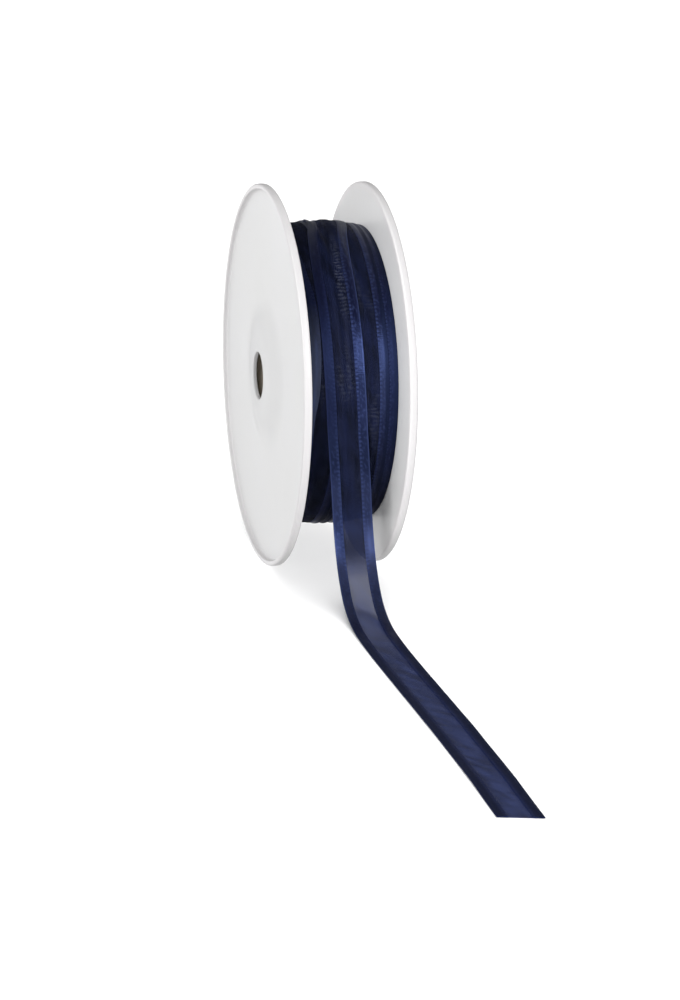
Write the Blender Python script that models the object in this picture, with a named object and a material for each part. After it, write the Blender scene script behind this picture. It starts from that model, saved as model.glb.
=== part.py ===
"""Reel of satin-edge organza ribbon, standing on its two flanges with the loose end run out in front.

World frame: metres, +Z up, X along the axle, and the loose end lies towards -Y.  The origin is the
middle of the whole thing's footprint, on the surface it stands on.
"""

import math

import bmesh
import bpy
from mathutils import Matrix, Vector

MM = 0.001
CLEARANCE = 0.3 * MM              # between neighbouring pieces

# Flanges: thin moulded discs with a raised lip outside and a dished hub that holds the core
FLANGE_RADIUS = 49.5 * MM
HALF_GAP = 12.4 * MM              # mid-plane to a flange's inner face
RIM_THICKNESS = 2.1 * MM
WEB_THICKNESS = 0.95 * MM
LIP_WIDTH = 1.3 * MM
EDGE_ROUND = 0.4 * MM
HUB_PROUD = 0.9 * MM              # hub face beyond the lip's face
HUB_THICKNESS = 1.0 * MM
HUB_FACE_RADIUS = 13.6 * MM
HUB_FOOT_RADIUS = 15.8 * MM
HOLE_RADIUS = 6.1 * MM
FLAT_SPOT_DEPTH = 0.15 * MM       # shaved off the lowest point of each rim
FLANGE_STEPS = 96

# Core: a paperboard tube seated in both hubs
CORE_RADIUS = 12.7 * MM
CORE_WALL = 1.8 * MM
CORE_STEPS = 48

# Wound ribbon
RIBBON_WIDTH = 10.0 * MM
WOUND_RADIUS = 38.4 * MM          # the body of the winding, under its top turns
WOUND_RISE = 0.4 * MM             # the winding sits this much above the axle
TURN_EDGE = 1.1 * MM              # over which a turn's edge rises from what lies under it
ROLL_STEPS = 96
ROLL_COLUMNS = 32
LEAVE_ANGLE = math.radians(-3.0)  # where the last turn leaves the winding, above the front

# The top turns, newest first: how proud each stands of the winding's body
TURN_HEIGHTS = (1.6 * MM, 0.5 * MM, 0.4 * MM, 0.3 * MM, 0.2 * MM)

# Where the ribbon's middle lies as it is followed back from the loose end
TRAVERSE = (
    # turns back, sideways from the mid-plane
    (0.00, -1.2 * MM),
    (0.10, -2.1 * MM),
    (0.18, -1.3 * MM),
    (0.26, 1.6 * MM),
    (0.38, 4.8 * MM),
    (0.60, 6.8 * MM),
    (1.00, 7.1 * MM),
    (1.50, 5.9 * MM),
    (2.00, 4.6 * MM),
    (2.50, 0.8 * MM),
    (3.00, -3.3 * MM),
    (3.50, -6.4 * MM),
    (4.00, -7.0 * MM),
    (4.50, -4.2 * MM),
    (5.00, 0.0 * MM),
)

# Loose end: the middle of the sheet, from the winding down to the surface and along it
SHEET_THICKNESS = 1.0 * MM
CUT_SLANT = 2.5 * MM              # the right corner of the cut reaches this much further
SHEET_STEPS = 4                   # stations between two rows of the route
SHEET_ROUTE = (
    # row, forward of the axle, above the surface, sideways
    (0, 39.7 * MM, 46.6 * MM, -1.1 * MM),
    (1, 40.2 * MM, 38.0 * MM, -0.7 * MM),
    (2, 40.9 * MM, 29.5 * MM, -0.1 * MM),
    (3, 42.2 * MM, 20.5 * MM, 0.4 * MM),
    (4, 45.2 * MM, 12.9 * MM, 0.4 * MM),
    (5, 49.3 * MM, 7.7 * MM, 0.2 * MM),
    (6, 55.6 * MM, 3.5 * MM, 0.1 * MM),
    (7, 64.5 * MM, 1.1 * MM, 0.0 * MM),
    (8, 76.0 * MM, 0.5 * MM, 0.0 * MM),
    (9, 115.0 * MM, 0.5 * MM, 0.0 * MM),
    (10, 155.0 * MM, 0.5 * MM, 0.0 * MM),
    (11, 193.3 * MM, 0.5 * MM, 0.0 * MM),
)

AXLE_HEIGHT = FLANGE_RADIUS - FLAT_SPOT_DEPTH
SHEET_REACH = SHEET_ROUTE[-1][1] + CUT_SLANT
AXLE_Y = 0.5 * (SHEET_REACH - FLANGE_RADIUS)


def clear_scene():
    for thing in list(bpy.data.objects):
        bpy.data.objects.remove(thing, do_unlink=True)


def make_material(name, color, roughness, sheen=0.0):
    """A Principled material with one colour."""
    material = bpy.data.materials.new(name)
    material.use_nodes = True
    shader = material.node_tree.nodes["Principled BSDF"]
    shader.inputs["Base Color"].default_value = (*color, 1.0)
    shader.inputs["Roughness"].default_value = roughness
    shader.inputs["Metallic"].default_value = 0.0
    shader.inputs["Sheen Weight"].default_value = sheen
    material.diffuse_color = (*color, 1.0)
    return material


def add_object(name, mesh_builder, material, parent):
    """Turn a finished bmesh into a smooth-shaded object under the reel's empty."""
    bmesh.ops.recalc_face_normals(mesh_builder, faces=mesh_builder.faces)
    mesh = bpy.data.meshes.new(name)
    mesh_builder.to_mesh(mesh)
    mesh_builder.free()
    mesh.materials.append(material)
    mesh.shade_smooth()
    mesh.set_sharp_from_angle(angle=math.radians(35.0))
    piece = bpy.data.objects.new(name, mesh)
    bpy.context.scene.collection.objects.link(piece)
    piece.parent = parent
    return piece


def turned_shape(profile, steps):
    """Spin a closed profile of (radius, place along the axle) once about the X axis."""
    shape = bmesh.new()
    corners = [shape.verts.new((along, 0.0, -radius)) for radius, along in profile]
    edges = [shape.edges.new((a, b)) for a, b in zip(corners, corners[1:] + corners[:1])]
    bmesh.ops.spin(
        shape,
        geom=corners + edges,
        cent=(0.0, 0.0, 0.0),
        axis=(1.0, 0.0, 0.0),
        angle=2.0 * math.pi,
        steps=steps,
        use_merge=True,
    )
    bmesh.ops.remove_doubles(shape, verts=shape.verts, dist=0.001 * MM)
    return shape


def bridged_loops(loops, closed):
    """Join equal loops of points into one skin; an open row of loops gets its two ends capped."""
    shape = bmesh.new()
    rings = [[shape.verts.new(point) for point in loop] for loop in loops]
    pairs = list(zip(rings, rings[1:]))
    if closed:
        pairs.append((rings[-1], rings[0]))
    else:
        shape.faces.new(rings[0])
        shape.faces.new(rings[-1])
    for ring, following in pairs:
        for k in range(len(ring)):
            after = (k + 1) % len(ring)
            shape.faces.new((ring[k], ring[after], following[after], following[k]))
    return shape


def smooth_step(value):
    """0 below 0, 1 above 1, and a soft S between."""
    value = min(max(value, 0.0), 1.0)
    return value * value * (3.0 - 2.0 * value)


def smooth_through(rows, place):
    """Columns of a table at a place along its first column: cubics that meet with one slope."""
    last = len(rows) - 1
    first = sum(1 for row in rows[1:last] if row[0] <= place)
    spots = [Vector(rows[min(max(first + offset, 0), last)]) for offset in (-1, 0, 1, 2)]
    before, start, end, after = spots
    span = end[0] - start[0]
    t = (place - start[0]) / span
    leaving = (end - before) * (span / (end[0] - before[0]))
    arriving = (after - start) * (span / (after[0] - start[0]))
    value = (
        start * (1.0 + t * t * (2.0 * t - 3.0))
        + end * (t * t * (3.0 - 2.0 * t))
        + leaving * (t * (1.0 - t) * (1.0 - t))
        + arriving * (t * t * (t - 1.0))
    )
    return value[1:]


def wound_radius(sideways, angle):
    """Radius of the winding: its body, or the proudest of the top turns that cross this place."""
    proud = 0.0
    past_leaving = (angle - LEAVE_ANGLE) % (2.0 * math.pi) / (2.0 * math.pi)
    for turn, height in enumerate(TURN_HEIGHTS):
        middle = smooth_through(TRAVERSE, turn + past_leaving)[0]
        inside = 0.5 * RIBBON_WIDTH + 0.5 * TURN_EDGE - abs(sideways - middle)
        next_height = TURN_HEIGHTS[turn + 1] if turn + 1 < len(TURN_HEIGHTS) else 0.0
        sinking = height + (next_height - height) * smooth_step((past_leaving - 0.45) / 0.5)
        proud = max(proud, sinking * smooth_step(inside / TURN_EDGE))
    return WOUND_RADIUS + WOUND_RISE * math.sin(angle) + proud


def flange_shape():
    """Right-hand flange, its inner face towards the mid-plane."""
    inner = HALF_GAP
    lip_face = HALF_GAP + RIM_THICKNESS
    web_face = HALF_GAP + WEB_THICKNESS
    hub_face = lip_face + HUB_PROUD
    seat = hub_face - HUB_THICKNESS
    socket_radius = CORE_RADIUS + CLEARANCE
    lip_radius = FLANGE_RADIUS - LIP_WIDTH
    profile = (
        (HOLE_RADIUS, seat),
        (socket_radius, seat),
        (socket_radius, inner + EDGE_ROUND),
        (socket_radius + EDGE_ROUND, inner),
        (FLANGE_RADIUS - EDGE_ROUND, inner),
        (FLANGE_RADIUS - 0.3 * EDGE_ROUND, inner + 0.3 * EDGE_ROUND),
        (FLANGE_RADIUS, inner + EDGE_ROUND),
        (FLANGE_RADIUS, lip_face - EDGE_ROUND),
        (FLANGE_RADIUS - 0.3 * EDGE_ROUND, lip_face - 0.3 * EDGE_ROUND),
        (FLANGE_RADIUS - EDGE_ROUND, lip_face),
        (lip_radius, lip_face),
        (lip_radius - 0.5 * EDGE_ROUND, web_face),
        (HUB_FOOT_RADIUS, web_face),
        (HUB_FACE_RADIUS, hub_face),
        (HOLE_RADIUS + 0.5 * EDGE_ROUND, hub_face),
        (HOLE_RADIUS, hub_face - 0.5 * EDGE_ROUND),
    )
    shape = turned_shape(profile, FLANGE_STEPS)
    for corner in shape.verts:
        corner.co.z = max(corner.co.z, -AXLE_HEIGHT)
    return shape


def build_flange(name, material, axle, mirrored):
    shape = flange_shape()
    if mirrored:
        bmesh.ops.rotate(shape, verts=shape.verts, matrix=Matrix.Rotation(math.pi, 3, "Z"))
    return add_object(name, shape, material, axle)


def build_core(material, axle):
    half_length = HALF_GAP + RIM_THICKNESS + HUB_PROUD - HUB_THICKNESS - CLEARANCE
    bore = CORE_RADIUS - CORE_WALL
    profile = (
        (bore, -half_length),
        (bore, half_length),
        (CORE_RADIUS, half_length),
        (CORE_RADIUS, -half_length),
    )
    return add_object("core_tube", turned_shape(profile, CORE_STEPS), material, axle)


def build_roll(material, axle):
    """The winding: a closed section across the axle, carried once around it."""
    half_width = HALF_GAP - CLEARANCE
    bore = CORE_RADIUS + CLEARANCE
    loops = []
    for step in range(ROLL_STEPS):
        angle = 2.0 * math.pi * step / ROLL_STEPS
        outward = Vector((0.0, -math.cos(angle), math.sin(angle)))
        loop = []
        for column in range(ROLL_COLUMNS + 1):
            sideways = half_width * (2.0 * column / ROLL_COLUMNS - 1.0)
            loop.append(Vector((sideways, 0.0, 0.0)) + outward * wound_radius(sideways, angle))
        for sideways in (half_width, -half_width):
            loop.append(Vector((sideways, 0.0, 0.0)) + outward * bore)
        loops.append(loop)
    return add_object("ribbon_roll", bridged_loops(loops, closed=True), material, axle)


def build_loose_end(material, axle):
    """The sheet: its cross-section set square to the route at every station."""
    count = SHEET_STEPS * (len(SHEET_ROUTE) - 1)
    stations = [smooth_through(SHEET_ROUTE, index / SHEET_STEPS) for index in range(count + 1)]
    lowest = 0.5 * SHEET_THICKNESS
    last_run = SHEET_ROUTE[-1][1] - SHEET_ROUTE[-2][1]
    loops = []
    for index, (forward, height, sideways) in enumerate(stations):
        before = stations[max(index - 1, 0)]
        after = stations[min(index + 1, count)]
        run = Vector((after[0] - before[0], after[1] - before[1])).normalized()
        share = smooth_step(1.0 - (SHEET_ROUTE[-1][1] - forward) / last_run)
        height = max(height, lowest) - AXLE_HEIGHT
        loop = []
        for across, out in ((-1, 1), (1, 1), (1, -1), (-1, -1)):
            reach = forward + share * CUT_SLANT * 0.5 * (across + 1)
            loop.append((
                sideways + 0.5 * across * RIBBON_WIDTH,
                -(reach - 0.5 * out * SHEET_THICKNESS * run[1]),
                height + 0.5 * out * SHEET_THICKNESS * run[0],
            ))
        loops.append(loop)
    return add_object("ribbon_tail", bridged_loops(loops, closed=False), material, axle)


def main():
    clear_scene()
    axle = bpy.data.objects.new("axle", None)
    axle.location = (0.0, AXLE_Y, AXLE_HEIGHT)
    bpy.context.scene.collection.objects.link(axle)

    white_plastic = make_material("white_plastic", (0.86, 0.86, 0.87), 0.35)
    paperboard = make_material("paperboard", (0.36, 0.29, 0.21), 0.85)
    ribbon = make_material("navy_ribbon", (0.012, 0.018, 0.075), 0.45, sheen=0.3)

    build_flange("flange_right", white_plastic, axle, mirrored=False)
    build_flange("flange_left", white_plastic, axle, mirrored=True)
    build_core(paperboard, axle)
    build_roll(ribbon, axle)
    build_loose_end(ribbon, axle)
    bpy.context.view_layer.update()


main()
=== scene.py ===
"""Looks for a reel of satin-edge organza ribbon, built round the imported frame.

World frame: metres, +Z up, X along the axle, and the loose end lies towards -Y.  The reel's and the
ribbon's sizes are in millimetres, and their places are told from the axle's middle: sideways along
X, forward towards -Y, up along Z.  Places along the ribbon are 0 where it leaves the winding, less
than 0 round the winding and more than 0 on the loose end.  The floor, the lamps and the camera are
in metres.
"""

import math
from types import SimpleNamespace

import bpy
import numpy as np
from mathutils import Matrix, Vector


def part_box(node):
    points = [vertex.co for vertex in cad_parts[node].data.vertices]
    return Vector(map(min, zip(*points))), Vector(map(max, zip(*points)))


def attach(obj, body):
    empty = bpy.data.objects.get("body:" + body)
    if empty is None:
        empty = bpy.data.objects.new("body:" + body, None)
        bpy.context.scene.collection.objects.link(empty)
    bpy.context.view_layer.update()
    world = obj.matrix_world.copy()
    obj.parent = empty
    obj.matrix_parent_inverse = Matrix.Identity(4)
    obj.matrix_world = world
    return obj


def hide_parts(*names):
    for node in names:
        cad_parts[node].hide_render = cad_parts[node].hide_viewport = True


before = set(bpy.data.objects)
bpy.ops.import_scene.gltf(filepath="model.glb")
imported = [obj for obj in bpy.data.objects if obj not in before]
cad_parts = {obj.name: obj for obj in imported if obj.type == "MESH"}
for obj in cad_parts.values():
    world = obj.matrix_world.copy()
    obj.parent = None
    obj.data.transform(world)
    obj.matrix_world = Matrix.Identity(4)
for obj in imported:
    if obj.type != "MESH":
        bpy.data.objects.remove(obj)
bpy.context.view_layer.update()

MM = 0.001


def in_frame(node):
    """The lowest and highest corner of a node of the frame, to a thousandth of a millimetre."""
    low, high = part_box(node)
    return [[round(value / MM, 3) for value in corner] for corner in (low, high)]


FLANGE_LOW, FLANGE_HIGH = in_frame("flange_right")
CORE_LOW, CORE_HIGH = in_frame("core_tube")

# Reel: what the frame's boxes give, and the rest
FLANGE_RADIUS = 0.5 * (FLANGE_HIGH[1] - FLANGE_LOW[1])
AXLE_Y = 0.5 * (FLANGE_HIGH[1] + FLANGE_LOW[1])
AXLE_HEIGHT = FLANGE_HIGH[2] - FLANGE_RADIUS      # the rims have a flat spot where they stand
HALF_GAP = FLANGE_LOW[0]          # mid-plane to a flange's inner face
HUB_PROUD = 0.9
RIM_THICKNESS = FLANGE_HIGH[0] - HALF_GAP - HUB_PROUD
WEB_THICKNESS = 0.95
LIP_WIDTH = 1.3
LIP_SLOPE = 0.2                   # how far the lip's inner wall leans in down to the web
HUB_THICKNESS = 1.0
HUB_FACE_RADIUS = 11.8
HUB_FOOT_RADIUS = 19.0
HOLE_RADIUS = 6.1
CORE_RADIUS = 0.5 * (CORE_HIGH[1] - CORE_LOW[1])
CORE_WALL = 1.8
CORE_ROUND = 0.3
CLEARANCE = 0.3
FLANGE_STEPS = 288
CORE_STEPS = 128

# Ribbon
WOUND_WIDTH = 10.3
LYING_WIDTH = 10.1
SATIN_SHARE = 0.245               # of the width, at each edge
BORDER = 1.0 - 2.0 * SATIN_SHARE  # where satin meets sheer, as a share of half the width
SATIN_THICKNESS = 0.22
SHEER_THICKNESS = 0.09
SATIN_RISE = 0.035                # how far the satin stands out over the sheer middle
PUCKER_HEIGHT = 0.028
WEAVE_PITCH = 0.5                 # of the sheer middle's threads, both ways
WEFT_PITCH = 0.55                 # of the satin's
STITCH_STEP = 1.05                # of the ladder and the gathers where satin meets sheer
TICK_LEAN = 22.0                  # degrees from along the ribbon to the right
LAYER = 0.24                      # what one turn adds to the turns that cross it
LAYER_EDGE = 0.8                  # over which a turn climbs onto the one below
FIRST_LAYERS = 0.6                # layers between the winding's body and a turn that crosses nothing
FADE_TURNS = 0.3                  # over which the oldest turn starts to lift the younger ones
TURN_LENGTH = 2.0 * math.pi * 39.5
WOUND_TURNS = 7                   # turns laid over the winding's body
LAST_TURN_ROWS = 640
TURNS_BELOW_ROWS = 1700
TRAVERSE_END = 8.0                # turns back, where the table below ends
BODY_RADIUS = 37.7
BODY_CROWN = 0.7
BODY_RISE = 0.4
BODY_STEPS = 360
BODY_COLUMNS = 73

# Where the ribbon's middle lies as it is followed back from the place it leaves the winding
TRAVERSE = (
    # turns back, sideways
    (0.00, -1.25),
    (0.03, -1.70),
    (0.06, -1.90),
    (0.095, -2.00),
    (0.13, -1.95),
    (0.155, -1.75),
    (0.18, -1.20),
    (0.21, -0.10),
    (0.24, 1.50),
    (0.28, 3.00),
    (0.34, 4.40),
    (0.44, 5.30),
    (0.62, 5.60),
    (0.82, 5.10),
    (1.00, 4.70),
    (1.10, 4.60),
    (1.25, 5.30),
    (1.50, 6.40),
    (1.80, 7.00),
    (2.10, 7.15),
    (2.35, 6.80),
    (2.70, 4.60),
    (3.10, 2.20),
    (3.40, 1.50),
    (3.60, -4.30),
    (3.75, -6.50),
    (3.90, -6.75),
    (3.985, -6.60),
    (4.02, -5.40),
    (4.06, -4.80),
    (4.11, -4.80),
    (4.16, -5.80),
    (4.21, -6.60),
    (4.40, -6.75),
    (4.85, -6.70),
    (5.10, -6.80),
    (5.35, -6.80),
    (5.70, -5.20),
    (6.10, -2.60),
    (6.60, 1.20),
    (7.10, 4.60),
    (7.50, 6.60),
    (8.00, 7.00),
)

# Loose end: the middle of the ribbon, down from the winding and out along the surface
ROUTE = (
    # forward, above the surface, sideways
    (39.62, AXLE_HEIGHT, TRAVERSE[0][1]),
    (39.75, 44.0, -0.95),
    (40.2, 38.0, -0.60),
    (40.95, 29.5, -0.10),
    (42.2, 20.5, 0.30),
    (45.2, 12.9, 0.45),
    (49.3, 7.7, 0.40),
    (55.6, 3.5, 0.15),
    (64.5, 1.1, -0.15),
    (76.0, 0.38, -0.35),
    (100.0, 0.20, -0.25),
    (125.0, 0.30, 0.00),
    (147.0, 0.20, 0.17),
    (170.0, 0.28, 0.05),
    (188.0, 0.18, -0.30),
    (195.3, 0.18, -0.45),
)
CUT_SLANT = 2.5                   # the right corner of the cut reaches this much further
CUT_RUN = 20.0                    # over which the rows of the strip come to lean with the cut
SETTLE_RUN = 14.0                 # over which the loose end loses the winding's cross-section
NARROW_RUN = 60.0                 # over which it comes to its lying width
CUP = 0.2                         # how much lower its middle hangs than its edges
CUP_RUN = 30.0
LYING_FROM = 62.0
LYING_RUN = 30.0
EDGE_LIFT = 0.08
SURFACE_GAP = 0.03                # between the lying ribbon and the surface
LOOSE_ROWS = 460


# ---------------------------------------------------------------- shapes

def to_world(sideways, forward, up):
    """Points from the axle's middle in millimetres to the world frame in metres."""
    places = (sideways, AXLE_Y - forward, AXLE_HEIGHT + up)
    return MM * np.stack(np.broadcast_arrays(*places), axis=-1)


def smooth_step(value):
    """3v2 - 2v3 of v held between 0 and 1."""
    value = np.clip(value, 0.0, 1.0)
    return value * value * (3.0 - 2.0 * value)


def smooth_through(knots, values, place):
    """Cubics through the values, with one slope at each knot: that of the chord between its neighbours."""
    knots, values = np.asarray(knots, float), np.asarray(values, float)
    slopes = np.empty_like(values)
    slopes[1:-1] = (values[2:] - values[:-2]) / (knots[2:] - knots[:-2])
    slopes[0] = (values[1] - values[0]) / (knots[1] - knots[0])
    slopes[-1] = (values[-1] - values[-2]) / (knots[-1] - knots[-2])
    first = np.clip(np.searchsorted(knots, place, side="right") - 1, 0, len(knots) - 2)
    span = knots[first + 1] - knots[first]
    t = (place - knots[first]) / span
    return (
        values[first] * (1.0 + t * t * (2.0 * t - 3.0))
        + values[first + 1] * t * t * (3.0 - 2.0 * t)
        + slopes[first] * span * t * (1.0 - t) ** 2
        + slopes[first + 1] * span * t * t * (t - 1.0)
    )


def traverse(turns):
    """Sideways place of the ribbon's middle, this many turns back."""
    table = np.array(TRAVERSE)
    return smooth_through(table[:, 0], table[:, 1], turns)


def body_radius(sideways, angle):
    """Radius of the winding under its top turns: a parabola across it, a little higher above the axle."""
    crown = BODY_CROWN * (1.0 - (sideways / HALF_GAP) ** 2)
    return BODY_RADIUS + crown + BODY_RISE * np.sin(angle)


def strip_radius(turns, across):
    """Radius of the wound strip: the body's, and a layer for each older turn that passes under this place.

    An older turn counts fully where this place is well inside its width, and by a smooth step at its edge.
    """
    angle = 2.0 * math.pi * turns
    sideways = traverse(turns) + across
    layers = np.full(np.broadcast(turns, across).shape, FIRST_LAYERS)
    reach = 0.5 * WOUND_WIDTH + 0.5 * LAYER_EDGE
    for older in range(1, WOUND_TURNS + 1):
        behind = turns + older
        there = smooth_step((WOUND_TURNS + FADE_TURNS - behind) / FADE_TURNS)
        apart = np.abs(sideways - traverse(np.minimum(behind, TRAVERSE_END)))
        layers = layers + there * smooth_step((reach - apart) / LAYER_EDGE)
    return body_radius(sideways, angle) + LAYER * layers


def ribbon_columns():
    """Places across the ribbon as shares of half its width, close together on the satin and at its edges."""
    satin = BORDER + (1.0 - BORDER) * np.array((0.0, 0.10, 0.3, 0.55, 0.78, 0.93, 1.0))
    sheer = BORDER * np.linspace(-1.0, 1.0, 13)[1:-1]
    return np.concatenate((-satin[::-1], sheer, satin))


def cloth_relief(along, columns):
    """How far the cloth stands out of its own middle surface: the puckers, and a little more on the satin."""
    return PUCKER_HEIGHT * puckers(along, columns) + SATIN_RISE * satin_share(columns)


def satin_share(columns):
    """1 on the satin edges and 0 on the sheer middle, with a short smooth step between."""
    return smooth_step((np.abs(columns) - BORDER + 0.03) / 0.05)


def puckers(along, columns):
    """Small gathers beside each satin edge: three sines along the ribbon under a bell round the border."""
    bell = np.exp(-((np.abs(columns) - BORDER + 0.10) / 0.13) ** 2)
    side = np.where(columns > 0.0, 1.0, -1.0)
    lean = 1.8 * columns
    wave = (
        np.sin(2.9 * along + lean + 0.9 * side)
        + 0.8 * np.sin(1.73 * along - lean + 2.0 * side)
        + 0.7 * np.sin(4.1 * along + 2.0 * lean)
    )
    strength = 0.55 + 0.45 * np.sin(0.11 * along + 1.3 * side)
    return bell * wave * strength


def shell(middle, out, columns):
    """A closed section round a middle surface: half the cloth's thickness out on top, and half in below."""
    thick = SHEER_THICKNESS + (SATIN_THICKNESS - SHEER_THICKNESS) * satin_share(columns)
    reach = 0.5 * MM * thick[:, None] * out
    return np.concatenate((middle + reach, (middle - reach)[:, ::-1]), axis=1)


def grid_faces(rows, columns, rows_close):
    """Quads of a grid whose columns always close, as rows of four corner numbers."""
    row = np.arange(rows if rows_close else rows - 1)[:, None]
    column = np.arange(columns)[None, :]
    following = (row + 1) % rows
    beside = (column + 1) % columns
    corners = (
        row * columns + column,
        row * columns + beside,
        following * columns + beside,
        following * columns + column,
    )
    return np.stack(np.broadcast_arrays(*corners), axis=-1).reshape(-1, 4)


def end_faces(rows, columns):
    """Quads that close a shell's two ends, from a top corner straight to the bottom one."""
    top = np.arange(columns // 2 - 1)
    near = np.stack((top + 1, top, columns - 1 - top, columns - 2 - top), axis=-1)
    return np.concatenate((near, near[:, ::-1] + (rows - 1) * columns))


def make_piece(name, points, faces, materials, paint=None, chart=None, sharp=40.0):
    """A mesh object from whole arrays: points, quads, the quads' materials and the points' chart places."""
    points = points.reshape(-1, 3)
    mesh = bpy.data.meshes.new(name)
    mesh.vertices.add(len(points))
    mesh.vertices.foreach_set("co", points.astype(np.float32).ravel())
    mesh.loops.add(faces.size)
    mesh.loops.foreach_set("vertex_index", faces.astype(np.int32).ravel())
    mesh.polygons.add(len(faces))
    mesh.polygons.foreach_set("loop_start", np.arange(0, faces.size, 4, dtype=np.int32))
    for material in materials:
        mesh.materials.append(material)
    if paint is not None:
        mesh.polygons.foreach_set("material_index", paint.astype(np.int32))
    mesh.update(calc_edges=True)
    if chart is not None:
        layer = mesh.uv_layers.new(name="cloth")
        layer.uv.foreach_set("vector", chart.reshape(-1, 2)[faces.ravel()].astype(np.float32).ravel())
    mesh.shade_smooth()
    mesh.set_sharp_from_angle(angle=math.radians(sharp))
    piece = bpy.data.objects.new(name, mesh)
    bpy.context.scene.collection.objects.link(piece)
    return piece


def ribbon_piece(name, middle, out, along, columns, materials):
    """A length of ribbon: a shell round its middle surface, satin at the edges and sheer between them.

    Its chart has millimetres across the ribbon and along it.
    """
    rows = middle.shape[0]
    points = shell(middle, out, columns)
    both = np.concatenate((columns, columns[::-1]))
    faces = np.concatenate((grid_faces(rows, len(both), False), end_faces(rows, len(both))))
    across = 0.5 * WOUND_WIDTH * both[None, :] + 0.0 * along[:, :1]
    chart = np.stack((across, np.concatenate((along, along[:, ::-1]), axis=1)), axis=-1)
    here = np.abs(both[faces % len(both)]).mean(axis=1)
    paint = np.where(here > BORDER + 1e-6, 0, 1)
    return make_piece(name, points, faces, materials, paint, chart)


def turned(profile, steps):
    """A closed profile of (radius, along the axle) carried once round it, and held above the surface."""
    profile = np.array(profile)
    angle = np.linspace(0.0, 2.0 * math.pi, steps, endpoint=False)[:, None]
    radius, along = profile[None, :, 0], profile[None, :, 1]
    up = np.maximum(-radius * np.sin(angle), -AXLE_HEIGHT)
    return to_world(along, radius * np.cos(angle), up)


def rounded(corners, reach, steps=5):
    """A closed profile with each corner swapped for a short parabola that starts and ends `reach` from it."""
    corners = np.array(corners, float)
    reach = np.array(reach, float)[:, None]
    to_last = np.roll(corners, 1, axis=0) - corners
    to_next = np.roll(corners, -1, axis=0) - corners
    start = corners + reach * to_last / np.linalg.norm(to_last, axis=1, keepdims=True)
    stop = corners + reach * to_next / np.linalg.norm(to_next, axis=1, keepdims=True)
    t = np.linspace(0.0, 1.0, steps)[None, :, None]
    first, middle, last = (1.0 - t) ** 2, 2.0 * t * (1.0 - t), t * t
    bends = first * start[:, None] + middle * corners[:, None] + last * stop[:, None]
    return bends.reshape(-1, 2)


# ---------------------------------------------------------------- finishes

def new_material(name):
    """A material with its node tree and its shader."""
    material = bpy.data.materials.new(name)
    material.use_nodes = True
    return material, material.node_tree, material.node_tree.nodes["Principled BSDF"]


def settings(shader, **values):
    """Constant values on a shader's own sockets, spaces in their names written as underscores."""
    for key, value in values.items():
        shader.inputs[key.replace("_", " ")].default_value = value


def add(tree, kind, inputs=None, **facts):
    """A node with its settings, and its inputs linked from sockets or set to values."""
    node = tree.nodes.new(kind)
    for key, value in facts.items():
        setattr(node, key, value)
    for key, value in (inputs or {}).items():
        if isinstance(value, bpy.types.NodeSocket):
            tree.links.new(value, node.inputs[key])
        else:
            node.inputs[key].default_value = value
    return node


def combine(tree, operation, first, *others):
    """A Math node's operation, carried along a row of sockets and values."""
    for other in others:
        first = add(tree, "ShaderNodeMath", {0: first, 1: other}, operation=operation).outputs[0]
    return first


def plus(tree, *terms):
    """The sum of its terms."""
    return combine(tree, "ADD", *terms)


def times(tree, *factors):
    """The product of its factors."""
    return combine(tree, "MULTIPLY", *factors)


def largest(tree, *values):
    """The largest of its values."""
    return combine(tree, "MAXIMUM", *values)


def one_less(tree, share):
    """What a share leaves of one."""
    return combine(tree, "SUBTRACT", 1.0, share)


def ramp(tree, value, low, high, to_low, to_high):
    """A value carried in a straight line from one range to another, held at both ends."""
    inputs = {"Value": value, "From Min": low, "From Max": high, "To Min": to_low, "To Max": to_high}
    return add(tree, "ShaderNodeMapRange", inputs).outputs["Result"]


def band(tree, value, middle, half):
    """1 at the middle of a band and 0 outside it, along a parabola."""
    away = combine(tree, "DIVIDE", combine(tree, "SUBTRACT", value, middle), half)
    return largest(tree, one_less(tree, times(tree, away, away)), 0.0)


def blend(tree, share, first, second):
    """A colour that goes from the first to the second as the share goes from 0 to 1."""
    node = add(tree, "ShaderNodeMix", {"Factor": share}, data_type="RGBA")
    for socket, value in ((6, first), (7, second)):
        if isinstance(value, bpy.types.NodeSocket):
            tree.links.new(value, node.inputs[socket])
        else:
            node.inputs[socket].default_value = (*value, 1.0)
    return node.outputs[2]


def stretched(tree, source, scale):
    """Coordinates of a pattern, stretched so that one unit is 1/scale of the source's unit."""
    return add(tree, "ShaderNodeMapping", {"Vector": source, "Scale": scale}).outputs["Vector"]


def leaning(tree, chart, degrees, scale):
    """The chart turned so that a pattern leans from along the ribbon to the right, then stretched."""
    inputs = {"Vector": chart, "Angle": math.radians(degrees)}
    turned_first = add(tree, "ShaderNodeVectorRotate", inputs, rotation_type="Z_AXIS").outputs["Vector"]
    return stretched(tree, turned_first, scale)


def noise(tree, place, scale=1.0, detail=3.0, rough=0.5):
    """Cloudy noise round 0.5: `scale` patches to the unit, `detail` finer layers, each `rough` as strong."""
    inputs = {"Vector": place, "Scale": scale, "Detail": detail, "Roughness": rough}
    return add(tree, "ShaderNodeTexNoise", inputs).outputs["Fac"]


def waves(tree, chart, period, axis, distortion):
    """Bands with this period in millimetres across (X) or along (Y) the ribbon."""
    inputs = {"Vector": chart, "Scale": math.pi / (10.0 * period), "Distortion": distortion, "Detail": 2.0}
    facts = {"wave_type": "BANDS", "bands_direction": axis}
    return add(tree, "ShaderNodeTexWave", inputs, **facts).outputs["Fac"]


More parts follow.
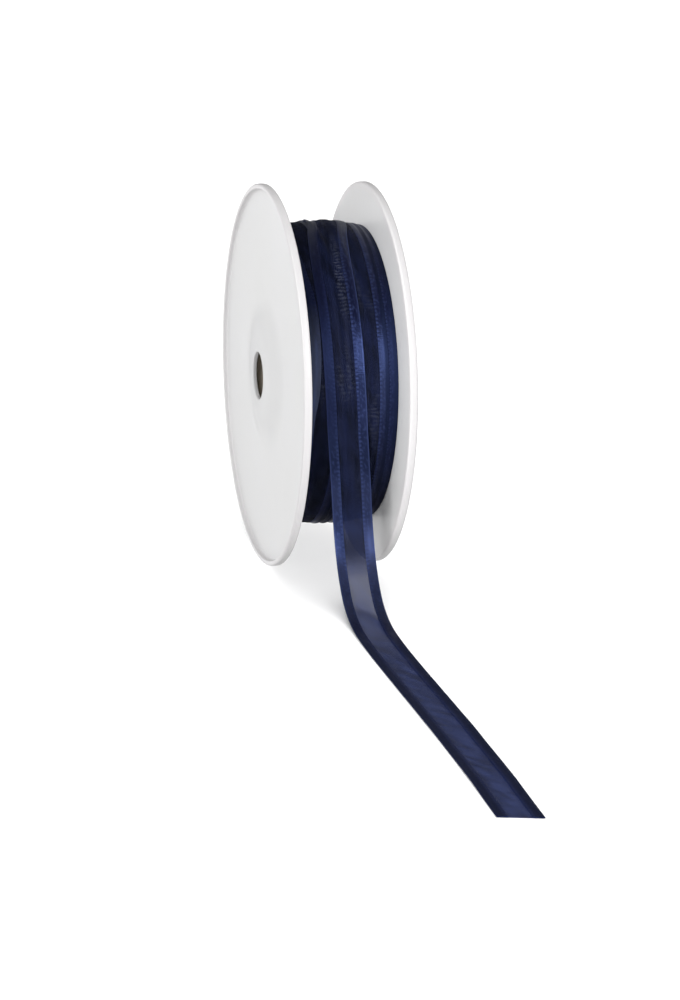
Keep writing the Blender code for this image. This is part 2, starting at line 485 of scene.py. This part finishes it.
def raise_by(tree, shader, height, distance, strength=1.0):
    """Low relief on a shader: a height of 1 stands out by this distance in metres."""
    bump = add(tree, "ShaderNodeBump", {"Height": height, "Strength": strength, "Distance": distance})
    tree.links.new(bump.outputs["Normal"], shader.inputs["Normal"])


def round_from(tree, place, middle_y):
    """Distance in the flange's plane from a point level with the axle."""
    inputs = {"Vector": place, "Location": (0.0, -MM * middle_y, -MM * AXLE_HEIGHT), "Scale": (0.0, 1.0, 1.0)}
    from_middle = add(tree, "ShaderNodeMapping", inputs).outputs["Vector"]
    return add(tree, "ShaderNodeVectorMath", {0: from_middle}, operation="LENGTH").outputs["Value"]


def object_place(tree):
    """The piece's own coordinates in metres."""
    return add(tree, "ShaderNodeTexCoord").outputs["Object"]


def cloth_places(tree):
    """Where a point is on the ribbon, in millimetres on its chart, and the shares that follow from it."""
    chart = add(tree, "ShaderNodeUVMap", uv_map="cloth").outputs["UV"]
    parts = add(tree, "ShaderNodeSeparateXYZ", {"Vector": chart}).outputs
    side, along = parts["X"], parts["Y"]
    from_middle = add(tree, "ShaderNodeMath", {0: side}, operation="ABSOLUTE").outputs[0]
    turns = times(tree, along, -1.0 / TURN_LENGTH)
    return SimpleNamespace(
        chart=chart,
        side=side,                # to the right of the ribbon's middle
        along=along,
        from_edge=combine(tree, "SUBTRACT", 0.5 * WOUND_WIDTH, from_middle),
        # 0 where a turn leaves the front of the winding, 0.25 at its top, and so on back to 1
        in_turn=add(tree, "ShaderNodeMath", {0: turns}, operation="FRACT").outputs[0],
    )


def white_plastic():
    """Moulded white polystyrene: faint flow marks, uneven gloss, a painted shade round the hub, more towards
    its back, and a clean lip.
    """
    material, tree, shader = new_material("white_plastic")
    settings(shader, Roughness=0.4, Specular_IOR_Level=0.35)
    place = object_place(tree)
    flow = noise(tree, place, 38.0, 3.0)
    fine = noise(tree, place, 900.0, 2.0)
    colour = blend(tree, ramp(tree, flow, 0.35, 0.65, 0.0, 1.0), (0.510, 0.510, 0.515), (0.540, 0.540, 0.540))
    # Painted shade: darker round the hub, centred 6 mm behind the axle, where the hub's slope faces away from
    # the light
    hub_painted_shade = ramp(tree, round_from(tree, place, AXLE_Y + 6.0), MM * 9.0, MM * 18.0, 1.0, 0.0)
    colour = blend(tree, hub_painted_shade, colour, (0.475, 0.475, 0.48))
    lip = FLANGE_RADIUS - LIP_WIDTH
    clean_lip = ramp(tree, round_from(tree, place, AXLE_Y), MM * (lip - 0.9), MM * (lip - 0.3), 0.0, 1.0)
    colour = blend(tree, clean_lip, colour, (0.53, 0.52, 0.525))
    tree.links.new(colour, shader.inputs["Base Color"])
    tree.links.new(ramp(tree, flow, 0.3, 0.7, 0.33, 0.45), shader.inputs["Roughness"])
    raise_by(tree, shader, plus(tree, flow, times(tree, fine, 0.05)), 0.00025, 0.5)
    return material


def paperboard():
    """Grey-brown spiral-wound board: long fibres and soft patches."""
    material, tree, shader = new_material("paperboard")
    settings(shader, Roughness=0.9, Specular_IOR_Level=0.2)
    place = object_place(tree)
    fibre = noise(tree, stretched(tree, place, (900.0, 300.0, 300.0)), 1.0, 4.0, 0.65)
    patch = noise(tree, place, 120.0, 2.0)
    colour = blend(tree, ramp(tree, fibre, 0.3, 0.7, 0.0, 1.0), (0.34, 0.30, 0.25), (0.50, 0.45, 0.38))
    colour = blend(tree, ramp(tree, patch, 0.35, 0.7, 0.0, 0.5), colour, (0.36, 0.31, 0.26))
    tree.links.new(colour, shader.inputs["Base Color"])
    raise_by(tree, shader, fibre, 0.0001, 0.6)
    return material


def satin_marks(tree, cloth):
    """The satin's marks, dulled places and painted shade, each from noise, bells and slopes over the ribbon's
    places.
    """
    along, in_turn, from_edge = cloth.along, cloth.in_turn, cloth.from_edge
    left = ramp(tree, cloth.side, -0.1, 0.1, 1.0, 0.0)
    below = ramp(tree, along, -190.0, -170.0, 1.0, 0.0)
    # Dulled and shaded: rougher, with fainter light lines, on the left edge where the ribbon leaves the
    # winding, on a lower turn, low in front and underneath; the fainter light lines are painted shade
    leaving = times(
        tree, left,
        ramp(tree, along, 6.0, 18.0, 1.7, 0.0),
        ramp(tree, along, -50.0, -30.0, 0.0, 1.0),
    )
    lower_turn = times(tree, band(tree, along, -509.0, 40.0), 1.6)
    low_front = times(tree, band(tree, in_turn, 0.935, 0.06), 0.8)
    underside = times(tree, band(tree, in_turn, 0.87, 0.13), below, 1.4)
    dulled_and_shaded = largest(tree, leaving, lower_turn, low_front, underside)
    # Light threads, a stitched ladder by the sheer middle and a selvedge, and slanted ticks that are painted
    # glints; all fainter where dulled and in painted shade
    ladder = times(tree, band(tree, from_edge, 2.2, 0.40), waves(tree, cloth.chart, STITCH_STEP, "Y", 1.5))
    selvedge = times(tree, band(tree, from_edge, 0.12, 0.28), one_less(tree, below))
    raised_lines = times(tree, largest(tree, ladder, selvedge), 0.8)
    ticks = noise(tree, leaning(tree, cloth.chart, TICK_LEAN, (2.2, 0.9, 1.0)), 1.0, 1.0)
    ticks = times(tree, ramp(tree, ticks, 0.53, 0.68, 0.0, 1.0), 0.65)
    # Painted shade: fewer light lines on the left edge before it leaves the winding, where the near flange
    # shades it
    left_painted_shade = times(tree, left, ramp(tree, along, -36.0, -12.0, 0.7, 0.0))
    threads_and_painted_glints = times(
        tree,
        largest(tree, raised_lines, ticks),
        ramp(tree, along, 50.0, 70.0, 1.0, 0.3),
        ramp(tree, dulled_and_shaded, 0.0, 1.7, 1.0, 0.35),
        one_less(tree, left_painted_shade),
    )
    return SimpleNamespace(
        streak=noise(tree, stretched(tree, cloth.chart, (1.9, 0.04, 1.0)), 1.0, 3.0, 0.7),
        cloudy=noise(tree, stretched(tree, cloth.chart, (0.30, 0.14, 1.0)), 1.0, 2.0),
        border=ramp(tree, from_edge, 1.4, 2.6, 0.0, 1.0),
        right=one_less(tree, left),
        # Painted shade along the outer edges of the turns below, where one turn lies against the next
        turn_edge_painted_shade=times(tree, below, ramp(tree, from_edge, 0.7, 1.2, 1.0, 0.0)),
        dulled_and_shaded=dulled_and_shaded,
        raised_lines=raised_lines,
        threads_and_painted_glints=threads_and_painted_glints,
    )


def satin_colour(tree, cloth, marks):
    """Streaked navy on the winding, a lighter, even navy on the free length, and patches laid over both:
    light threads with painted glints, and painted highlights, reflection and shade.
    """
    along = cloth.along
    streak = ramp(tree, marks.streak, 0.35, 0.65, 0.0, 1.0)
    wound = blend(tree, streak, (0.0014, 0.0016, 0.008), (0.0030, 0.0034, 0.016))
    lying = blend(tree, marks.border, (0.0020, 0.0042, 0.021), (0.0065, 0.0120, 0.053))
    colour = blend(tree, ramp(tree, along, 55.0, 75.0, 0.0, 1.0), wound, lying)
    # A painted sheen along the top of the winding, where the turns catch the light
    painted_top_sheen = times(tree, band(tree, cloth.in_turn, 0.265, 0.05), ramp(tree, along, -20.0, 0.0, 1.0, 0.0))
    patches = (
        # how much of the patch shows, its colour
        # Painted highlights on the loose end at the bend, halfway down, just over the bend and on its right
        # edge, and a painted shade where it starts to hang
        (band(tree, along, 48.0, 14.0), (0.009, 0.011, 0.028)),         # the bend onto the surface
        (band(tree, along, 11.0, 9.0), (0.0004, 0.0005, 0.003)),        # where it starts to hang
        (band(tree, along, 23.0, 8.0), (0.008, 0.010, 0.024)),          # halfway down
        (band(tree, along, 41.0, 6.0), (0.018, 0.022, 0.052)),          # just over the bend
        (times(tree, band(tree, along, 35.0, 8.0), marks.right), (0.022, 0.025, 0.052)),
        # A painted highlight in front, on the turn below
        (band(tree, along, -258.0, 14.0), (0.010, 0.013, 0.032)),       # in front, on the turn below
        # Light threads, with slanted ticks that are painted glints
        (marks.threads_and_painted_glints, (0.022, 0.031, 0.082)),
        # Painted shade along the edges of the turns below
        (marks.turn_edge_painted_shade, (0.0006, 0.0008, 0.004)),
        (painted_top_sheen, (0.032, 0.034, 0.045)),
        # A greyish painted highlight in front, four turns back, for the white flange's reflection
        (band(tree, along, -1001.0, 20.0), (0.034, 0.038, 0.050)),      # in front, four turns back
    )
    for share, shade in patches:
        colour = blend(tree, share, colour, shade)
    return colour


def satin_roughness(tree, cloth, marks):
    """Uneven gloss, duller at the border, where it is dulled, on the painted-shade edges of the turns below,
    at the bend and where it lies.
    """
    uneven = plus(tree, times(tree, marks.streak, 0.6), times(tree, marks.cloudy, 0.4))
    rough = plus(
        tree,
        ramp(tree, uneven, 0.38, 0.62, 0.29, 0.43),
        times(tree, marks.border, 0.3),
        times(tree, marks.dulled_and_shaded, 0.28),
        times(tree, marks.turn_edge_painted_shade, 0.5),
        times(tree, band(tree, cloth.along, 32.0, 14.0), 0.14),
    )
    return largest(tree, rough, ramp(tree, cloth.along, 58.0, 80.0, 0.0, 0.70))


def satin_relief(tree, cloth, marks):
    """The height of weft, stitched lines and soft unevenness, and fine crinkles on the right over the top."""
    weft = waves(tree, cloth.chart, WEFT_PITCH, "Y", 2.5)
    crinkles = noise(tree, leaning(tree, cloth.chart, TICK_LEAN, (2.6, 1.1, 1.0)), 1.0, 1.0)
    creased = times(tree, band(tree, cloth.along, -24.0, 16.0), marks.right, 0.6)
    return plus(
        tree,
        times(tree, weft, 0.05),
        times(tree, marks.raised_lines, 0.4),
        marks.cloudy,
        times(tree, crinkles, creased),
    )


def satin_edge():
    """Navy satin: floats along the ribbon that shine across it, with the marks that satin_marks gives."""
    material, tree, shader = new_material("satin_edge")
    settings(
        shader,
        IOR=1.55,
        Specular_IOR_Level=0.75,
        Specular_Tint=(0.25, 0.37, 1.0, 1.0),
        Anisotropic=1.0,
        Sheen_Weight=0.03,
        Sheen_Roughness=0.3,
        Sheen_Tint=(0.7, 0.7, 1.0, 1.0),
    )
    cloth = cloth_places(tree)
    marks = satin_marks(tree, cloth)
    tree.links.new(satin_colour(tree, cloth, marks), shader.inputs["Base Color"])
    tree.links.new(satin_roughness(tree, cloth, marks), shader.inputs["Roughness"])
    tangent = add(tree, "ShaderNodeTangent", direction_type="UV_MAP", uv_map="cloth").outputs["Tangent"]
    tree.links.new(tangent, shader.inputs["Tangent"])
    raise_by(tree, shader, satin_relief(tree, cloth, marks), 0.00025, 0.8)
    return material


def sheer_gathers(tree, cloth, fine):
    """Light ticks of gathered threads beside the satin of the wound ribbon, only in some places along it."""
    gathers = times(
        tree,
        band(tree, cloth.from_edge, 3.9, 1.6),
        waves(tree, cloth.chart, STITCH_STEP, "Y", 6.0),
        ramp(tree, fine, 0.38, 0.60, 0.0, 1.0),
    )
    scarce = noise(tree, stretched(tree, cloth.chart, (0.22, 0.055, 1.0)), 1.0, 1.0)
    right = ramp(tree, cloth.side, 0.0, 0.6, 0.0, 1.0)
    return times(
        tree,
        ramp(tree, gathers, 0.05, 0.65, 0.0, 0.9),
        largest(
            tree,
            ramp(tree, scarce, 0.50, 0.66, 0.0, 0.5),
            times(tree, band(tree, cloth.along, -38.0, 17.0), right),
        ),
        ramp(tree, cloth.along, 18.0, 26.0, 1.0, 0.0),
    )


def sheer_colour(tree, cloth, fine):
    """Dark mottled navy where dark turns lie behind, a painted shade, and a lighter, watered navy on the free
    length, painted light coming through the open weave.
    """
    patch = noise(tree, leaning(tree, cloth.chart, 20.0, (0.38, 0.11, 1.0)), 1.0, 2.0, 0.45)
    mottled = ramp(tree, patch, 0.40, 0.60, 0.0, 1.0)
    streak = noise(tree, stretched(tree, cloth.chart, (1.1, 0.05, 1.0)), 1.0, 3.0)
    streaked = times(tree, plus(tree, mottled, ramp(tree, streak, 0.35, 0.65, 0.0, 1.0)), 0.5)
    wound = blend(tree, streaked, (0.0006, 0.0020, 0.010), (0.0042, 0.0076, 0.032))
    water = noise(tree, leaning(tree, cloth.chart, 35.0, (0.50, 0.15, 1.0)), 1.0, 1.0, 0.4)
    watered = times(tree, plus(tree, mottled, ramp(tree, water, 0.38, 0.62, 0.0, 1.0)), 0.5)
    lying = blend(tree, watered, (0.010, 0.019, 0.081), (0.031, 0.050, 0.172))
    lying = blend(tree, ramp(tree, cloth.from_edge, 2.4, 3.6, 0.5, 0.0), lying, (0.003, 0.008, 0.045))
    # Painted light through the weave from 22 mm along the loose end, held back round 35 mm as a painted shade
    # where the shade under the reel shows through
    free = combine(
        tree, "SUBTRACT",
        ramp(tree, cloth.along, 22.0, 54.0, 0.0, 1.0),
        times(tree, band(tree, cloth.along, 35.0, 5.0), 0.3),
    )
    colour = blend(tree, free, wound, lying)
    return blend(tree, sheer_gathers(tree, cloth, fine), colour, (0.036, 0.041, 0.066))


def sheer_centre():
    """Navy organza: an open weave that lets some light through, soft watery patches, gathers by the satin."""
    material, tree, shader = new_material("sheer_centre")
    settings(
        shader,
        Roughness=0.7,
        Specular_IOR_Level=0.12,
        Sheen_Weight=0.04,
        Sheen_Roughness=0.3,
        Sheen_Tint=(0.8, 0.8, 0.95, 1.0),
    )
    cloth = cloth_places(tree)
    fine = noise(tree, stretched(tree, cloth.chart, (0.7, 1.3, 1.0)), 1.0, 2.0)
    threads = largest(tree, *(waves(tree, cloth.chart, WEAVE_PITCH, axis, 0.6) for axis in "XY"))
    tree.links.new(sheer_colour(tree, cloth, fine), shader.inputs["Base Color"])
    # How much the weave covers: most where it is wound and hangs, least at the bend, more where it lies
    cover = plus(
        tree,
        ramp(tree, threads, 0.2, 1.0, 0.61, 0.65),
        ramp(tree, cloth.along, 36.0, 43.0, 0.22, -0.02),
        ramp(tree, cloth.along, 64.0, 85.0, -0.04, 0.05),
        ramp(tree, cloth.along, 50.0, 54.0, 0.04, 0.0),
    )
    tree.links.new(cover, shader.inputs["Alpha"])
    raise_by(tree, shader, plus(tree, threads, times(tree, fine, 0.8)), 0.00003, 0.12)
    return material


def wound_layers():
    """The winding under its top turns: dark edges of many turns, streaked round it."""
    material, tree, shader = new_material("wound_layers")
    settings(
        shader,
        Roughness=0.6,
        Specular_IOR_Level=0.25,
        Sheen_Weight=0.15,
        Sheen_Tint=(0.6, 0.65, 1.0, 1.0),
    )
    place = object_place(tree)
    streak = noise(tree, stretched(tree, place, (900.0, 30.0, 30.0)), 1.0, 4.0, 0.6)
    streaked = ramp(tree, streak, 0.35, 0.65, 0.0, 1.0)
    colour = blend(tree, streaked, (0.004, 0.006, 0.022), (0.010, 0.015, 0.055))
    tree.links.new(colour, shader.inputs["Base Color"])
    raise_by(tree, shader, streak, 0.0002, 0.8)
    return material


def pale_floor():
    """A plain pale surface with a faint grain."""
    material, tree, shader = new_material("pale_floor")
    settings(shader, Roughness=0.9, Specular_IOR_Level=0.1)
    place = object_place(tree)
    grain = noise(tree, place, 60.0, 2.0)
    colour = blend(tree, grain, (0.90, 0.90, 0.90), (0.92, 0.92, 0.92))
    tree.links.new(colour, shader.inputs["Base Color"])
    return material


# ---------------------------------------------------------------- pieces

def flange_profile():
    """Section of the right-hand flange: lip, dish, hub disc and the socket that holds the core."""
    lip_face = HALF_GAP + RIM_THICKNESS
    web_face = HALF_GAP + WEB_THICKNESS
    hub_face = lip_face + HUB_PROUD
    seat = hub_face - HUB_THICKNESS
    socket = CORE_RADIUS + CLEARANCE
    lip = FLANGE_RADIUS - LIP_WIDTH
    corners = np.array((
        # radius, along, how far the corner is rounded
        (HOLE_RADIUS, seat, 0.1),
        (socket, seat, 0.1),
        (socket, HALF_GAP, 0.4),
        (FLANGE_RADIUS, HALF_GAP, 0.7),
        (FLANGE_RADIUS, lip_face, 0.65),
        (lip, lip_face, 0.3),
        (lip - LIP_SLOPE, web_face, 0.55),
        (HUB_FOOT_RADIUS, web_face, 3.0),
        (HUB_FACE_RADIUS, hub_face, 2.4),
        (HOLE_RADIUS, hub_face, 0.35),
    ))
    return rounded(corners[:, :2], corners[:, 2])


def flange(name, node, side, material):
    """The profile turned round the axle, or its mirror image with the faces turned the other way."""
    profile = flange_profile()
    profile[:, 1] *= side
    points = turned(profile, FLANGE_STEPS)
    faces = grid_faces(FLANGE_STEPS, len(profile), True)
    if side > 0:
        faces = faces[:, ::-1]
    piece = make_piece(name, points, faces, [material], sharp=50.0)
    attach(piece, "root")
    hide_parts(node)
    return piece


def core(material):
    """The paperboard tube: an oblong section with eased corners, turned round the axle."""
    half = HALF_GAP + RIM_THICKNESS + HUB_PROUD - HUB_THICKNESS - CLEARANCE
    bore = CORE_RADIUS - CORE_WALL
    corners = ((bore, -half), (bore, half), (CORE_RADIUS, half), (CORE_RADIUS, -half))
    profile = rounded(corners, [CORE_ROUND] * len(corners))
    points = turned(profile, CORE_STEPS)
    faces = grid_faces(CORE_STEPS, len(profile), True)[:, ::-1]
    piece = make_piece("paper_core", points, faces, [material], sharp=50.0)
    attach(piece, "root")
    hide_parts("core_tube")
    return piece


def winding_body(material):
    """The winding under its top turns: body_radius across the axle, carried once round it, closed by a bore.

    Two sines that wander a little round the axle lay fine ridges on it, as the edges of many turns do.
    """
    half = HALF_GAP - CLEARANCE
    angle = np.linspace(0.0, 2.0 * math.pi, BODY_STEPS, endpoint=False)[:, None]
    sideways = np.linspace(-half, half, BODY_COLUMNS)[None, :]
    ridges = 0.05 * np.sin(5.1 * sideways + 1.5 * np.sin(2.0 * angle)) + 0.04 * np.sin(8.7 * sideways - angle)
    bore = np.full((BODY_STEPS, 2), CORE_RADIUS + CLEARANCE)
    radius = np.concatenate((body_radius(sideways, angle) + ridges, bore), axis=1)
    across = np.concatenate((sideways, np.array(((half, -half),))), axis=1)
    points = to_world(across, radius * np.cos(angle), radius * np.sin(angle))
    faces = grid_faces(BODY_STEPS, BODY_COLUMNS + 2, True)
    piece = make_piece("winding_body", points, faces, [material])
    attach(piece, "root")
    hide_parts("ribbon_roll")
    return piece


def wound_turns(name, first, last, rows, materials):
    """Turns `first` to `last` back from the loose end: a strip at strip_radius, along the traverse."""
    columns = ribbon_columns()[None, :]
    turns = np.linspace(first, last, rows)[:, None]
    angle = 2.0 * math.pi * turns
    across = 0.5 * WOUND_WIDTH * columns
    along = -TURN_LENGTH * turns + 0.0 * across
    radius = strip_radius(turns, across) + cloth_relief(along, columns)
    middle = to_world(traverse(turns) + across, radius * np.cos(angle), radius * np.sin(angle))
    out = np.stack((0.0 * angle, -np.cos(angle), np.sin(angle)), axis=-1)
    piece = ribbon_piece(name, middle, out, along, columns[0], materials)
    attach(piece, "root")
    return piece


def loose_end(materials):
    """The loose end: places across the ribbon carried along the route.

    The route is smooth_through its rows by chord length, and its direction comes from a short step
    ahead.  The ribbon starts with the winding's cross-section and settles into its own by a smooth
    step, cups by a parabola where it hangs, and two sines lift its edges where it lies.  The rows
    near the end lean, so that the last one is the slanted cut.  Flat, it is 10.2 mm wide.
    """
    route = np.array(ROUTE)
    knots = np.concatenate(((0.0,), np.cumsum(np.linalg.norm(np.diff(route, axis=0), axis=1))))
    length = knots[-1]
    columns = ribbon_columns()[None, :]
    step = np.linspace(0.0, length, LOOSE_ROWS)[:, None]
    along = step + CUT_SLANT * 0.5 * columns * smooth_step((step - length + CUT_RUN) / CUT_RUN)
    forward, height, sideways = (smooth_through(knots, route[:, k], along) for k in range(3))
    ahead, ahead_height = (smooth_through(knots, route[:, k], along + 0.05) for k in (0, 1))
    run = np.stack((ahead - forward, ahead_height - height), axis=-1)
    run /= np.linalg.norm(run, axis=-1, keepdims=True)
    out_forward, out_up = -run[..., 1], run[..., 0]

    lying = smooth_step((along - LYING_FROM) / LYING_RUN)
    width = WOUND_WIDTH + (LYING_WIDTH - WOUND_WIDTH) * smooth_step(along / NARROW_RUN)
    start = strip_radius(np.zeros((1, 1)), 0.5 * WOUND_WIDTH * columns) - route[0, 0]
    settled = smooth_step(along / SETTLE_RUN)
    cup = -CUP * (1.0 - columns ** 2) * smooth_step(along / CUP_RUN) * (1.0 - 0.8 * lying)
    lift = np.sin(0.19 * along + 1.0) + 0.6 * np.sin(0.083 * along + 2.2 + 0.9 * columns)
    lift = EDGE_LIFT * lying * np.maximum(lift, 0.0) * columns ** 2
    offset = start * (1.0 - settled) + cup + lift + cloth_relief(along, columns)

    lowest = 0.5 * SATIN_THICKNESS + SURFACE_GAP
    up = np.maximum(height + out_up * offset, lowest) - AXLE_HEIGHT
    middle = to_world(sideways + 0.5 * width * columns, forward + out_forward * offset, up)
    out = np.stack((0.0 * out_up, -out_forward, out_up), axis=-1)
    piece = ribbon_piece("loose_end", middle, out, along, columns[0], materials)
    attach(piece, "root")
    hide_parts("ribbon_tail")
    return piece


# ---------------------------------------------------------------- studio

def lay_floor(material):
    """A flat square of the floor, 12 m across, which doesn't show in reflections."""
    half = 6.0
    points = np.array(((-half, -half, 0.0), (half, -half, 0.0), (half, half, 0.0), (-half, half, 0.0)))
    floor = make_piece("floor", points, np.array(((0, 1, 2, 3),)), [material])
    floor.visible_glossy = False
    return floor


def linked(name, pieces, state):
    """A light-linking list: the pieces that a lamp includes or leaves out."""
    group = bpy.data.collections.new(name)
    for piece in pieces:
        group.objects.link(piece)
        group.collection_objects[-1].light_linking.link_state = state
    return group


def place_lamp(name, lamp, position, target):
    """A lamp at a position in metres, turned to shine at the target."""
    holder = bpy.data.objects.new(name, lamp)
    bpy.context.scene.collection.objects.link(holder)
    holder.location = position
    holder.rotation_mode = "QUATERNION"
    holder.rotation_quaternion = (Vector(target) - Vector(position)).to_track_quat("-Z", "Y")
    return holder


def softbox(name, from_direction, distance, size, strength, pieces, state):
    """A square soft lamp that lights these pieces only, or all but these, aimed at the reel's middle.

    Its power goes with the square of its distance, so the strength is what reaches the reel.
    """
    lamp = bpy.data.lights.new(name, "AREA")
    lamp.shape = "SQUARE"
    lamp.size = size
    lamp.energy = strength * math.pi * distance ** 2
    target = Vector((0.0, 0.0, 0.05))
    holder = place_lamp(name, lamp, target + distance * Vector(from_direction).normalized(), target)
    holder.light_linking.receiver_collection = linked(name + "_lights", pieces, state)


def surrounding_light():
    """A white studio: a dim room, a glow low in front and another low behind, and a plain white backdrop."""
    world = bpy.data.worlds.new("studio")
    world.use_nodes = True
    bpy.context.scene.world = world
    tree = world.node_tree
    room = tree.nodes["Background"]
    room.inputs["Color"].default_value = (1.0, 1.0, 1.0, 1.0)
    seen_from = add(tree, "ShaderNodeTexCoord").outputs["Generated"]
    towards = add(tree, "ShaderNodeSeparateXYZ", {"Vector": seen_from}).outputs
    table_glow = times(
        tree,
        ramp(tree, towards["Y"], -0.85, -0.15, 1.3, 0.0),
        ramp(tree, towards["Z"], 0.0, 0.35, 1.0, 0.0),
    )
    back_glow = times(
        tree,
        ramp(tree, towards["Y"], 0.72, 0.92, 0.0, 1.3),
        ramp(tree, towards["Z"], -0.15, 0.05, 1.0, 0.0),
    )
    dim = plus(
        tree,
        ramp(tree, towards["Z"], -0.3, 0.0, 0.03, 0.12),
        ramp(tree, towards["Z"], 0.35, 0.6, 0.0, 0.08),
    )
    strength = plus(tree, largest(tree, table_glow, back_glow), dim)
    tree.links.new(strength, room.inputs["Strength"])
    backdrop = add(tree, "ShaderNodeBackground", {"Color": (1.0, 1.0, 1.0, 1.0), "Strength": 1.0})
    seen = add(tree, "ShaderNodeLightPath").outputs["Is Camera Ray"]
    both = add(tree, "ShaderNodeMixShader", {0: seen, 1: room.outputs[0], 2: backdrop.outputs[0]})
    tree.links.new(both.outputs[0], tree.nodes["World Output"].inputs["Surface"])


def set_lights(floor, ribbon, flanges):
    """Soft lamps round the reel, some for the white plastic alone, and two overhead for the floor alone."""
    near = flanges[:1]
    for row in (
        # name, direction, distance in metres, size, strength, pieces, whether it lights these or the others
        ("key", (-0.555, -0.725, 0.405), 1.2, 0.5, 3.7, [floor, *near], "EXCLUDE"),
        ("side", (-0.70, -0.05, 0.71), 1.2, 0.7, 1.35, flanges, "INCLUDE"),
        ("front", (0.30, -0.85, 0.43), 1.2, 0.5, 0.6, [floor], "EXCLUDE"),
        ("flange_light", (-0.86, -0.25, 0.45), 0.7, 0.55, 1.92, near, "INCLUDE"),
        ("rim_light", (0.40, -0.82, 0.40), 1.2, 0.7, 2.4, near, "INCLUDE"),
        ("edge_light", (0.96, 0.12, 0.26), 1.2, 0.9, 1.5, flanges, "INCLUDE"),
    ):
        softbox(*row)
    for name, strength in (("overhead", 0.4), ("floor_fill", 3.7)):
        lamp = bpy.data.lights.new(name, "SUN")
        lamp.energy = strength
        lamp.angle = math.radians(90.0)
        holder = place_lamp(name, lamp, (0.0, -0.4, 0.92), (0.0, 0.0, 0.0))
        holder.light_linking.receiver_collection = linked(name + "_lights", [floor], "INCLUDE")
    # Only the loose end shades the floor from the second of these two
    holder.light_linking.blocker_collection = linked("floor_fill_shades", [ribbon], "INCLUDE")
    bpy.context.scene.view_settings.view_transform = "Standard"


def set_camera():
    """A long lens in front of the reel and to its left, above it and leaning slightly."""
    camera = bpy.data.cameras.new("camera")
    camera.sensor_width = 36.0
    camera.lens = 123.3
    camera.clip_start = 0.05
    camera.clip_end = 50.0
    holder = bpy.data.objects.new("camera", camera)
    bpy.context.scene.collection.objects.link(holder)
    holder.location = (-0.20260, -0.76935, 0.25965)
    holder.rotation_euler = [math.radians(turn) for turn in (74.2460, -1.2898, -13.6263)]
    bpy.context.scene.camera = holder


plastic = white_plastic()
satin, sheer = satin_edge(), sheer_centre()
flanges = [
    flange("flange_near", "flange_left", -1.0, plastic),
    flange("flange_far", "flange_right", 1.0, plastic),
]
core(paperboard())
winding_body(wound_layers())
wound_turns("last_turn", 0.0, 1.0, LAST_TURN_ROWS, [satin, sheer])
wound_turns("turns_below", 1.0, WOUND_TURNS, TURNS_BELOW_ROWS, [satin, sheer])
ribbon = loose_end([satin, sheer])
surrounding_light()
set_lights(lay_floor(pale_floor()), ribbon, flanges)
set_camera()
